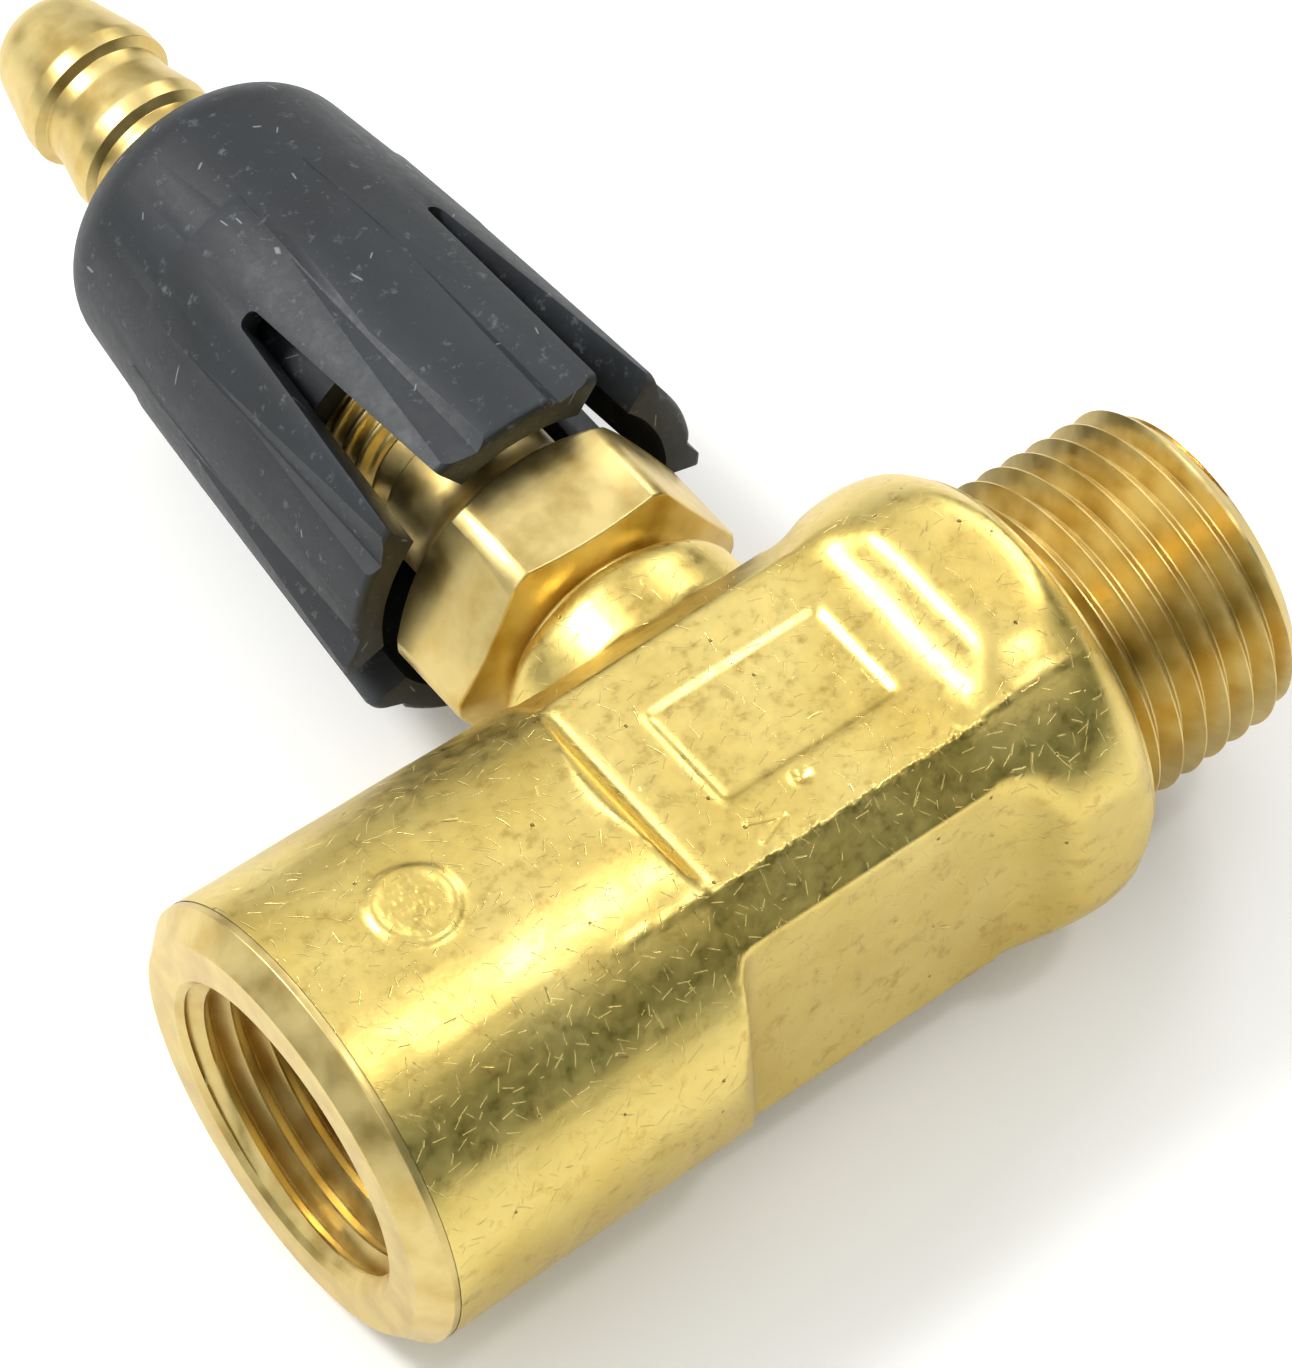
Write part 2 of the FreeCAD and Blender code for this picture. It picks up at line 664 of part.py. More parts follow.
def groove_cutter():
    # V groove at the foot of a lip; its floor rises out of the land towards the crown.
    floor = LAND_RADIUS - GROOVE_DEPTH
    rise = GROOVE_DEPTH + PAST
    half = GROOVE_WIDTH / 2 * rise / GROOVE_DEPTH
    face = outline([(0, floor), (half, floor + rise), (-half, floor + rise)])
    face.rotate(ORIGIN, RUN, 90)
    face.translate(FreeCAD.Vector(BRANCH_X, knob_low - PAST, 0))
    length = SKIRT_LENGTH + 2 * PAST
    return face.extrude(FreeCAD.Vector(0, length, -GROOVE_FADE * length))


def knob():
    cavity_top = knob_top - CROWN_TOP_RISE - CROWN_THICKNESS
    cavity = turned_on_branch([
        (HUB_RADIUS, knob_low - PAST),
        (CAVITY_RADIUS, knob_low - PAST),
        (CAVITY_RADIUS - CAVITY_DRAFT, cavity_top, RIM_ROUND),
        (HUB_RADIUS, cavity_top, RIM_ROUND)])
    solid = knob_blank().cut(cavity)
    for angle in slot_angles():
        solid = solid.cut(facing(slot_cutter(), angle))
        for side in (-GROOVE_ANGLE, GROOVE_ANGLE):
            solid = solid.cut(facing(groove_cutter(), angle + side))
    bores = [
        bore_on_branch(HUB_RADIUS, knob_low - PAST, hub_low),
        bore_on_branch(KNOB_THREAD_RADIUS + 4 * RUNNING, hub_low, nut_low),
        bore_on_branch(NUT_RADIUS, nut_low, nut_top),
        bore_on_branch(WASHER_RADIUS + 4 * RUNNING, nut_top, sleeve_low),
        bore_on_branch(STEM_RADIUS + RUNNING, sleeve_low, sleeve_top),
        bore_on_branch(ROOT_RADIUS + RUNNING, sleeve_top, knob_top + PAST)]
    for bore in bores:
        solid = solid.cut(bore)
    return solid


def knob_nut():
    # Brass insert moulded into the hub; it runs on the gland's thread.
    sleeve = bore_on_branch(NUT_RADIUS, nut_low, nut_top)
    return sleeve.cut(bore_on_branch(KNOB_THREAD_RADIUS + RUNNING, nut_low - PAST, nut_top + PAST))


PIECES = {
    "body": body(),
    "jet_nozzle": jet_nozzle(),
    "jet_o_ring": jet_o_ring(),
    "diffuser": diffuser(),
    "diffuser_o_ring": diffuser_o_ring(),
    "gland": gland(),
    "gland_o_ring": gland_o_ring(),
    "check_seat": check_seat(),
    "check_ball": check_ball(),
    "check_spring": check_spring(),
    "spring_retainer": spring_retainer(),
    "hose_barb": hose_barb(),
    "metering_needle": metering_needle(),
    "stem_o_ring_lower": stem_o_ring(0),
    "stem_o_ring_upper": stem_o_ring(1),
    "thrust_washer": thrust_washer(),
    "stem_circlip": stem_circlip(),
    "knob": knob(),
    "knob_nut": knob_nut(),
}

for name, shape in PIECES.items():
    shape.exportStep(os.path.join("parts", name + ".step"))
    box = shape.BoundBox
    print(name, shape.isValid(), len(shape.Solids), round(shape.Volume, 2),
          [round(v, 2) for v in (box.XMin, box.XMax, box.YMin, box.YMax, box.ZMin, box.ZMax)])
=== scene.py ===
import json
import math
import bpy
from mathutils import Matrix, Vector, noise

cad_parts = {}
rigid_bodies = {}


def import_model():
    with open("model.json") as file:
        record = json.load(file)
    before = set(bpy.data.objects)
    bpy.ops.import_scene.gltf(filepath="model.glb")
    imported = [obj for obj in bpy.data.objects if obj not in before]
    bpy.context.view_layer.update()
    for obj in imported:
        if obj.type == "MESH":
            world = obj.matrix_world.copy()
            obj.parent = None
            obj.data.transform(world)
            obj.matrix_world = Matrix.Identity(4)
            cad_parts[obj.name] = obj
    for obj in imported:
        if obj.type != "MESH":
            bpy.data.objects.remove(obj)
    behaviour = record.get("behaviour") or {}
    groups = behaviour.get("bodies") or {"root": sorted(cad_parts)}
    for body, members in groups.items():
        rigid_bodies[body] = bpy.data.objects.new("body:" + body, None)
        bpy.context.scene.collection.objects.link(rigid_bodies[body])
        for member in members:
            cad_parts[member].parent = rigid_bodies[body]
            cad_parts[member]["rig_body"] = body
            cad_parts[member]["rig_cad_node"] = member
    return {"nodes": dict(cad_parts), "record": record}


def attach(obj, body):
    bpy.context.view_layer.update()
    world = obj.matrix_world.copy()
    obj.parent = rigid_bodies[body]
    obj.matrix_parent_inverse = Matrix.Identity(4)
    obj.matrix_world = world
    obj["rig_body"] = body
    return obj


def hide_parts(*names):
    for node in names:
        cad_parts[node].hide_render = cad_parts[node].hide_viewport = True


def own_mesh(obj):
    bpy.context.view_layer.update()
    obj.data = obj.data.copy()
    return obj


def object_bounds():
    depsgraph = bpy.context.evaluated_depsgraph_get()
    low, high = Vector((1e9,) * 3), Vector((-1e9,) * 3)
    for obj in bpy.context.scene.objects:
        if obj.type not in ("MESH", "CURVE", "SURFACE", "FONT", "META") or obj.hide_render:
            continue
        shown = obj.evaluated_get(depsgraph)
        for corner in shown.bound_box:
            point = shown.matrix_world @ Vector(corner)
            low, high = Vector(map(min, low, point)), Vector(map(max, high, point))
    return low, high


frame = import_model()
cadLow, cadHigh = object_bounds()
record = frame["record"]

mm = 0.001
alongRun = Vector((1, 0, 0))
alongBranch = Vector((0, 1, 0))
branchX = 28.1  # mm from the inlet face to the branch
branchFoot = Vector((branchX * mm, 0, 0))

cameraView = {
    "place": (-0.10292, -0.18597, 0.32579),
    "target": (0.02784, 0.00990, 0.00008),
    "rollDegrees": 3.836,
    "lens": 228.2,
    "sensor": 36.0, "near": 0.01, "far": 20,
}

studio = {
    "skyColour": "#FFFFFF", "skyLevel": 0.86, "lowColour": "#97AD88", "lowLevel": 0.22, "lean": 0.30,
    "keyPower": 2.6, "keySize": 0.16, "keyPlace": (-0.22, 0.34, 0.50),
    "fillPower": 0.5, "fillSize": 0.35, "fillPlace": (-0.45, -0.25, 0.35),
    "rimPower": 0.6, "rimSize": 0.16, "rimPlace": (0.42, 0.22, 0.34),
    "glintPower": 0.3, "glintSize": 0.05, "glintPlace": (0.198, -0.155, 0.44),
    "floorSize": 3.0, "floorCentre": (0.03, 0.03), "floorGap": 0.02,
    "floorColour": "#F4F4F3", "floorLift": 0.12,
}


def linearColour(hexText):
    parts = [int(hexText[i:i + 2], 16) / 255 for i in (1, 3, 5)]
    return [c / 12.92 if c <= 0.04045 else ((c + 0.055) / 1.055) ** 2.4 for c in parts] + [1.0]


# materials

def addNode(tree, kind, settings=None, values=None, links=None):
    node = tree.nodes.new(kind)
    for key, value in (settings or {}).items():
        setattr(node, key, value)
    for key, value in (values or {}).items():
        node.inputs[key].default_value = value
    for key, source in (links or {}).items():
        tree.links.new(source, node.inputs[key])
    return node


def newMaterial(name):
    material = bpy.data.materials.new(name)
    material.use_nodes = True
    tree = material.node_tree
    tree.nodes.clear()
    place = addNode(tree, "ShaderNodeTexCoord").outputs["Object"]
    return material, tree, place


def setRamp(node, stops):
    ramp = node.color_ramp
    while len(ramp.elements) < len(stops):
        ramp.elements.new(0.5)
    for element, (position, colour) in zip(ramp.elements, stops):
        element.position = position
        element.color = colour


def grey(level):
    return (level, level, level, 1.0)


def perMm(size):
    return 1000.0 / size  # noise scale for features of this many millimetres


forgedBrass = {
    "light": "#EBD482", "mid": "#DCC067", "dark": "#BE9A4A", "pit": "#6E5220", "scuff": "#F3E3A2",
    "roughness": 0.32, "patchMm": 6.0, "grainMm": 0.3, "pitMm": 1.9, "skinMm": 0.9, "bump": 0.26,
    "scuffCellMm": (1.9, 0.85), "scuffWidthMm": 0.022, "scuffReachMm": 0.36, "scuffTint": 0.3,
    "skinDepthMm": 0.06, "grainDepthMm": 0.03, "pitDepthMm": 0.08, "scuffDepthMm": 0.04,
}


scuffTurn = (0.26, -0.55, 0.79)  # any direction off the axes: it keeps each scratch's length across its width


def scuffMask(tree, place, cellMm, widthMm, reachMm):
    # one short straight scratch in each cell of a Voronoi pattern, each in a direction of its own
    cells = addNode(tree, "ShaderNodeTexVoronoi", values={"Scale": perMm(cellMm), "Randomness": 1.0},
                    links={"Vector": place})
    arm = addNode(tree, "ShaderNodeVectorMath", {"operation": "SUBTRACT"},
                  links={0: place, 1: cells.outputs["Position"]})
    spread = addNode(tree, "ShaderNodeVectorMath", {"operation": "SUBTRACT"}, {1: (0.5, 0.5, 0.5)},
                     {0: cells.outputs["Color"]})
    across = addNode(tree, "ShaderNodeVectorMath", {"operation": "NORMALIZE"}, links={0: spread.outputs[0]})
    turned = addNode(tree, "ShaderNodeVectorMath", {"operation": "CROSS_PRODUCT"}, {1: scuffTurn},
                     {0: across.outputs[0]})
    along = addNode(tree, "ShaderNodeVectorMath", {"operation": "NORMALIZE"}, links={0: turned.outputs[0]})
    parts = []
    for way, full, none in ((across, widthMm * 0.4, widthMm), (along, reachMm * 0.6, reachMm)):
        offset = addNode(tree, "ShaderNodeVectorMath", {"operation": "DOT_PRODUCT"},
                         links={0: arm.outputs[0], 1: way.outputs[0]})
        distance = addNode(tree, "ShaderNodeMath", {"operation": "ABSOLUTE"},
                           links={0: offset.outputs["Value"]})
        part = addNode(tree, "ShaderNodeMapRange", values={"From Min": full * mm, "From Max": none * mm,
                                                           "To Min": 1.0, "To Max": 0.0},
                       links={"Value": distance.outputs[0]})
        parts.append(part)
    return addNode(tree, "ShaderNodeMath", {"operation": "MULTIPLY"},
                   links={0: parts[0].outputs["Result"], 1: parts[1].outputs["Result"]})


def forgedBrassMaterial(look):
    # CuZn39Pb3 brass, hot forged and tumbled: a satin metal with fine scuffs and pinhole pits
    material, tree, place = newMaterial("forged brass")
    patch = addNode(tree, "ShaderNodeTexNoise", values={"Scale": perMm(look["patchMm"]), "Detail": 3.0},
                    links={"Vector": place})
    grain = addNode(tree, "ShaderNodeTexNoise", values={"Scale": perMm(look["grainMm"]), "Detail": 4.0},
                    links={"Vector": place})
    skin = addNode(tree, "ShaderNodeTexNoise", values={"Scale": perMm(look["skinMm"]), "Detail": 5.0,
                                                       "Roughness": 0.62}, links={"Vector": place})
    pits = addNode(tree, "ShaderNodeTexVoronoi", values={"Scale": perMm(look["pitMm"]), "Randomness": 1.0},
                   links={"Vector": place})
    pitMask = addNode(tree, "ShaderNodeValToRGB", links={"Fac": pits.outputs["Distance"]})
    setRamp(pitMask, [(0.03, grey(0.8)), (0.06, grey(0))])
    colour = addNode(tree, "ShaderNodeValToRGB", links={"Fac": patch.outputs["Fac"]})
    setRamp(colour, [(0.30, linearColour(look["mid"])), (0.68, linearColour(look["light"]))])
    worn = addNode(tree, "ShaderNodeValToRGB", links={"Fac": skin.outputs["Fac"]})
    setRamp(worn, [(0.28, grey(0.6)), (0.46, grey(0))])
    darkened = addNode(tree, "ShaderNodeMix", {"data_type": "RGBA"},
                       {7: linearColour(look["dark"])},
                       {0: worn.outputs["Color"], 6: colour.outputs["Color"]})
    pitted = addNode(tree, "ShaderNodeMix", {"data_type": "RGBA"},
                     {7: linearColour(look["pit"])},
                     {0: pitMask.outputs["Color"], 6: darkened.outputs[2]})
    coarse, fine = [scuffMask(tree, place, cell, look["scuffWidthMm"], look["scuffReachMm"])
                    for cell in look["scuffCellMm"]]
    scuffs = addNode(tree, "ShaderNodeMath", {"operation": "MAXIMUM"},
                     links={0: coarse.outputs[0], 1: fine.outputs[0]})
    faint = addNode(tree, "ShaderNodeMath", {"operation": "MULTIPLY"}, {1: look["scuffTint"]},
                    {0: scuffs.outputs[0]})
    scuffed = addNode(tree, "ShaderNodeMix", {"data_type": "RGBA"}, {7: linearColour(look["scuff"])},
                      {0: faint.outputs[0], 6: pitted.outputs[2]})
    rough = addNode(tree, "ShaderNodeMapRange", values={"From Min": 0.3, "From Max": 0.7,
                                                        "To Min": look["roughness"] - 0.05,
                                                        "To Max": look["roughness"] + 0.10},
                    links={"Value": skin.outputs["Fac"]})
    fineBump = addNode(tree, "ShaderNodeBump",
                       values={"Strength": look["bump"], "Distance": look["skinDepthMm"] * mm},
                       links={"Height": skin.outputs["Fac"]})
    grainBump = addNode(tree, "ShaderNodeBump",
                        values={"Strength": look["bump"] * 0.5, "Distance": look["grainDepthMm"] * mm},
                        links={"Height": grain.outputs["Fac"], "Normal": fineBump.outputs["Normal"]})
    pitBump = addNode(tree, "ShaderNodeBump", {"invert": True},
                      {"Strength": 0.8, "Distance": look["pitDepthMm"] * mm},
                      {"Height": pitMask.outputs["Color"], "Normal": grainBump.outputs["Normal"]})
    scuffBump = addNode(tree, "ShaderNodeBump", {"invert": True},
                        {"Strength": 0.55, "Distance": look["scuffDepthMm"] * mm},
                        {"Height": scuffs.outputs[0], "Normal": pitBump.outputs["Normal"]})
    shader = addNode(tree, "ShaderNodeBsdfPrincipled", values={"Metallic": 1.0},
                     links={"Base Color": scuffed.outputs[2], "Roughness": rough.outputs["Result"],
                            "Normal": scuffBump.outputs["Normal"]})
    addNode(tree, "ShaderNodeOutputMaterial", links={"Surface": shader.outputs["BSDF"]})
    return material


turnedBrass = {
    "light": "#E2CC8A", "dark": "#CBAE66", "roughness": 0.33, "ringMm": 0.22, "stainMm": 2.2, "bump": 0.2,
    "ringDepthMm": 0.02, "ringStretch": 0.02,
}


def turnedBrassMaterial(name, look, axis):
    # free-cutting brass turned on a lathe: fine rings about its own axis and a few dull stains
    material, tree, place = newMaterial(name)
    thin = look["ringStretch"]
    stretch = {"X": (1, thin, thin), "Y": (thin, 1, thin)}[axis]
    squeezed = addNode(tree, "ShaderNodeMapping", values={"Scale": stretch}, links={"Vector": place})
    rings = addNode(tree, "ShaderNodeTexNoise", values={"Scale": perMm(look["ringMm"]), "Detail": 3.0},
                    links={"Vector": squeezed.outputs["Vector"]})
    stain = addNode(tree, "ShaderNodeTexNoise", values={"Scale": perMm(look["stainMm"]), "Detail": 5.0},
                    links={"Vector": place})
    colour = addNode(tree, "ShaderNodeValToRGB", links={"Fac": stain.outputs["Fac"]})
    setRamp(colour, [(0.32, linearColour(look["dark"])), (0.6, linearColour(look["light"]))])
    rough = addNode(tree, "ShaderNodeMapRange", values={"From Min": 0.3, "From Max": 0.7,
                                                        "To Min": look["roughness"] - 0.05,
                                                        "To Max": look["roughness"] + 0.14},
                    links={"Value": stain.outputs["Fac"]})
    bump = addNode(tree, "ShaderNodeBump",
                   values={"Strength": look["bump"], "Distance": look["ringDepthMm"] * mm},
                   links={"Height": rings.outputs["Fac"]})
    shader = addNode(tree, "ShaderNodeBsdfPrincipled", values={"Metallic": 1.0},
                     links={"Base Color": colour.outputs["Color"], "Roughness": rough.outputs["Result"],
                            "Normal": bump.outputs["Normal"]})
    addNode(tree, "ShaderNodeOutputMaterial", links={"Surface": shader.outputs["BSDF"]})
    return material


knobNylon = {
    "base": "#171B1F", "worn": "#22272C", "dust": "#888D91", "roughness": 0.47,
    "patchMm": 7.0, "dustMm": 0.9, "grainMm": 0.25, "bump": 0.2, "scratchCellMm": 3.6,
    "scratchWidthMm": 0.05, "scratchReachMm": 0.22, "dustTint": 0.7, "grainDepthMm": 0.03,
}


def knobNylonMaterial(look):
    # black glass-filled nylon, injection moulded: satin, greyed by handling, with dusty specks
    material, tree, place = newMaterial("moulded black nylon")
    patch = addNode(tree, "ShaderNodeTexNoise", values={"Scale": perMm(look["patchMm"]), "Detail": 4.0},
                    links={"Vector": place})
    dust = addNode(tree, "ShaderNodeTexNoise", values={"Scale": perMm(look["dustMm"]), "Detail": 6.0,
                                                       "Roughness": 0.75}, links={"Vector": place})
    grain = addNode(tree, "ShaderNodeTexNoise", values={"Scale": perMm(look["grainMm"]), "Detail": 2.0},
                    links={"Vector": place})
    colour = addNode(tree, "ShaderNodeValToRGB", links={"Fac": patch.outputs["Fac"]})
    setRamp(colour, [(0.30, linearColour(look["base"])), (0.75, linearColour(look["worn"]))])
    specks = addNode(tree, "ShaderNodeValToRGB", links={"Fac": dust.outputs["Fac"]})
    setRamp(specks, [(0.58, grey(0)), (0.70, grey(0.5))])
    scratches = scuffMask(tree, place, look["scratchCellMm"], look["scratchWidthMm"],
                          look["scratchReachMm"])
    marks = addNode(tree, "ShaderNodeMath", {"operation": "MAXIMUM"},
                    links={0: specks.outputs["Color"], 1: scratches.outputs[0]})
    strength = addNode(tree, "ShaderNodeMath", {"operation": "MULTIPLY"}, {1: look["dustTint"]},
                       {0: marks.outputs[0]})
    dusty = addNode(tree, "ShaderNodeMix", {"data_type": "RGBA"}, {7: linearColour(look["dust"])},
                    {0: strength.outputs[0], 6: colour.outputs["Color"]})
    rough = addNode(tree, "ShaderNodeMapRange", values={"From Min": 0.3, "From Max": 0.7,
                                                        "To Min": look["roughness"] - 0.05,
                                                        "To Max": look["roughness"] + 0.12},
                    links={"Value": dust.outputs["Fac"]})
    bump = addNode(tree, "ShaderNodeBump",
                   values={"Strength": look["bump"], "Distance": look["grainDepthMm"] * mm},
                   links={"Height": grain.outputs["Fac"]})
    shader = addNode(tree, "ShaderNodeBsdfPrincipled",
                     links={"Base Color": dusty.outputs[2], "Roughness": rough.outputs["Result"],
                            "Normal": bump.outputs["Normal"]})
    addNode(tree, "ShaderNodeOutputMaterial", links={"Surface": shader.outputs["BSDF"]})
    return material


def plainRubberMaterial():
    # nitrile rubber, moulded: matt black with a faint bloom
    material, tree, place = newMaterial("nitrile rubber")
    bloom = addNode(tree, "ShaderNodeTexNoise", values={"Scale": perMm(0.8), "Detail": 3.0},
                    links={"Vector": place})
    colour = addNode(tree, "ShaderNodeValToRGB", links={"Fac": bloom.outputs["Fac"]})
    setRamp(colour, [(0.4, linearColour("#17181A")), (0.7, linearColour("#26282A"))])
    shader = addNode(tree, "ShaderNodeBsdfPrincipled", values={"Roughness": 0.6},
                     links={"Base Color": colour.outputs["Color"]})
    addNode(tree, "ShaderNodeOutputMaterial", links={"Surface": shader.outputs["BSDF"]})
    return material


def springSteelMaterial():
    # stainless spring steel, drawn and ground
    material, tree, place = newMaterial("stainless steel")
    grind = addNode(tree, "ShaderNodeTexNoise", values={"Scale": perMm(0.3), "Detail": 3.0},
                    links={"Vector": place})
    rough = addNode(tree, "ShaderNodeMapRange", values={"To Min": 0.18, "To Max": 0.36},
                    links={"Value": grind.outputs["Fac"]})
    shader = addNode(tree, "ShaderNodeBsdfPrincipled",
                     values={"Metallic": 1.0, "Base Color": linearColour("#B9BBBD")},
                     links={"Roughness": rough.outputs["Result"]})
    addNode(tree, "ShaderNodeOutputMaterial", links={"Surface": shader.outputs["BSDF"]})
    return material


# mesh helpers

def deselectAll():
    if bpy.context.object and bpy.context.object.mode != "OBJECT":
        bpy.ops.object.mode_set(mode="OBJECT")
    bpy.ops.object.select_all(action="DESELECT")


def pick(piece):
    deselectAll()
    piece.select_set(True)
    bpy.context.view_layer.objects.active = piece


def editPiece(piece, selectAll=True):
    pick(piece)
    bpy.ops.object.mode_set(mode="EDIT")
    bpy.ops.mesh.select_mode(type="VERT")
    bpy.ops.mesh.select_all(action="SELECT" if selectAll else "DESELECT")


def leaveEdit():
    bpy.ops.object.mode_set(mode="OBJECT")


def selectFaces(piece, test):
    # test gets a face's centre in mm; the chosen faces stay selected in edit mode
    editPiece(piece, selectAll=False)
    bpy.ops.mesh.select_mode(type="FACE")
    leaveEdit()
    for face in piece.data.polygons:
        face.select = test(face.center / mm)
    bpy.ops.object.mode_set(mode="EDIT")


def deleteFaces(piece, test):
    selectFaces(piece, test)
    bpy.ops.mesh.delete(type="FACE")
    leaveEdit()


def refineFaces(piece, test, cuts):
    selectFaces(piece, test)
    bpy.ops.mesh.subdivide(number_cuts=cuts)
    leaveEdit()


def applyModifier(piece, kind, **settings):
    pick(piece)
    modifier = piece.modifiers.new(kind.title(), kind)
    for key, value in settings.items():
        setattr(modifier, key, value)
    bpy.ops.object.modifier_apply(modifier=modifier.name)


def smoothByAngle(piece, degrees):
    pick(piece)
    bpy.ops.object.shade_smooth_by_angle(angle=math.radians(degrees))


def paint(piece, *materials):
    piece.data.materials.clear()
    for material in materials:
        piece.data.materials.append(material)


def joinPieces(name, pieces):
    pick(pieces[0])
    for piece in pieces[1:]:
        piece.select_set(True)
    bpy.ops.object.join()
    pieces[0].name = name
    pieces[0].data.name = name
    return pieces[0]


def roundedLine(corners, arcSteps=5):
    # (a, b) or (a, b, radius) corners in mm -> points in mm, each radius drawn as an arc
    points = []
    for i, corner in enumerate(corners):
        here = Vector(corner[:2])
        if len(corner) == 2 or i in (0, len(corners) - 1):
            points.append(here)
            continue
        back = (Vector(corners[i - 1][:2]) - here).normalized()
        ahead = (Vector(corners[i + 1][:2]) - here).normalized()
        half = back.angle(ahead) / 2
        inward = (back + ahead).normalized()
        centre = here + inward * (corner[2] / math.sin(half))
        start = here + back * (corner[2] / math.tan(half)) - centre
        turn = start.angle_signed(here + ahead * (corner[2] / math.tan(half)) - centre)
        for step in range(arcSteps + 1):
            arm = start.copy()
            arm.rotate(Matrix.Rotation(-turn * step / arcSteps, 2))
            points.append(centre + arm)
    return points


def spunPiece(name, corners, axis, segments=128, arcSteps=5):
    # a profile drawn point by point with extrude, then spun; corners are (along axis, radius)
    points = roundedLine(corners, arcSteps)
    deselectAll()
    bpy.ops.mesh.primitive_plane_add(size=1 * mm, location=(0, 0, 0))
    piece = bpy.context.object
    piece.name = name
    editPiece(piece)
    bpy.ops.mesh.merge(type="CENTER")
    places = [Vector((p.x, p.y, 0)) * mm for p in points]
    bpy.ops.transform.translate(value=places[0])
    for last, here in zip(places, places[1:]):
        bpy.ops.mesh.extrude_region_move(TRANSFORM_OT_translate={"value": here - last})
    bpy.ops.mesh.select_all(action="SELECT")
    bpy.ops.mesh.spin(steps=segments, angle=2 * math.pi, center=(0, 0, 0), axis=alongRun)
    bpy.ops.mesh.select_all(action="SELECT")
    bpy.ops.mesh.remove_doubles(threshold=0.002 * mm)
    bpy.ops.mesh.normals_make_consistent(inside=False)
    leaveEdit()
    if axis == "Y":
        piece.data.transform(Matrix.Translation(branchFoot) @ Matrix.Rotation(math.pi / 2, 4, "Z"))
    return piece


def nodeCopy(nodeName, pieceName):
    piece = frame["nodes"][nodeName].copy()
    piece.data = piece.data.copy()
    piece.name = pieceName
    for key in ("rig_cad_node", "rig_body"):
        if key in piece:
            del piece[key]
    piece.parent = None
    bpy.context.scene.collection.objects.link(piece)
    editPiece(piece)
    bpy.ops.mesh.remove_doubles(threshold=0.001 * mm)
    leaveEdit()
    return piece


def cutPlane(piece, place, normal, keepBelow=True, fill=False):
    editPiece(piece)
    bpy.ops.mesh.bisect(plane_co=place, plane_no=normal, clear_outer=keepBelow,
                        clear_inner=not keepBelow, use_fill=fill, threshold=1e-7)
    leaveEdit()


def threadedSleeve(name, thread, axis):
    # one tooth drawn along the run, swept by a Screw modifier, then tapered and trimmed to its ends
    pitch, steps = thread["pitch"], thread["stepsPerPitch"]
    turns = int((thread["end"] - thread["start"]) / pitch) + 3
    deselectAll()
    bpy.ops.mesh.primitive_plane_add(size=1 * mm, location=(0, 0, 0))
    piece = bpy.context.object
    piece.name = name
    editPiece(piece)
    bpy.ops.mesh.merge(type="CENTER")
    flat = thread["crestFlat"]
    tooth = [(0, 1), (flat, 1), (flat + 0.25 - flat * 0.5, 0.5), (0.5, 0), (0.5 + flat, 0),
             (0.75 + flat * 0.5, 0.5)]
    places = []
    for turn in range(turns):
        for share, height in tooth:
            x = thread["start"] - 1.5 * pitch + (turn + share) * pitch
            radius = thread["radius"] - thread["depth"] * (1 - height)
            if thread["inside"]:
                radius = thread["radius"] + thread["depth"] * (1 - height)
            places.append(Vector((x, radius, 0)) * mm)
    places.append(places[0] + Vector((turns * pitch, 0, 0)) * mm)
    bpy.ops.transform.translate(value=places[0])
    for last, here in zip(places, places[1:]):
        bpy.ops.mesh.extrude_region_move(TRANSFORM_OT_translate={"value": here - last})
    bpy.ops.mesh.select_all(action="SELECT")
    bpy.ops.mesh.subdivide(number_cuts=max(1, steps // len(tooth) - 1))
    leaveEdit()
    applyModifier(piece, "SCREW", axis="X", angle=2 * math.pi, screw_offset=pitch * mm,
                  steps=thread["segments"], render_steps=thread["segments"], iterations=1,
                  use_merge_vertices=False, use_smooth_shade=True)
    editPiece(piece)
    bpy.ops.mesh.remove_doubles(threshold=0.003 * mm)
    leaveEdit()
    start, end = thread["start"], thread["end"]
    for vertex in piece.data.vertices:
        x = min(max(vertex.co.x / mm, start), end)
        radius = math.hypot(vertex.co.y, vertex.co.z) / mm - thread["taper"] * (x - start)
        limit = thread["limit"](x)
        radius = max(radius, limit) if thread["inside"] else min(radius, limit)
        outside = vertex.co.x / mm < start - 0.001 or vertex.co.x / mm > end + 0.001
        if outside:
            radius = limit
        length = math.hypot(vertex.co.y, vertex.co.z)
        y, z = vertex.co.y / length, vertex.co.z / length
        vertex.co = Vector((x * mm, y * radius * mm, z * radius * mm))
    editPiece(piece)
    bpy.ops.mesh.remove_doubles(threshold=0.004 * mm)
    bpy.ops.mesh.dissolve_degenerate(threshold=0.001 * mm)
    bpy.ops.mesh.delete_loose()
    leaveEdit()
    if axis == "Y":
        piece.data.transform(Matrix.Translation(branchFoot) @ Matrix.Rotation(math.pi / 2, 4, "Z"))
    return piece


def dressNode(nodeName, material):
    node = frame["nodes"][nodeName]
    paint(node, material)
    for polygon in node.data.polygons:
        polygon.use_smooth = False
        polygon.material_index = 0


# injector body

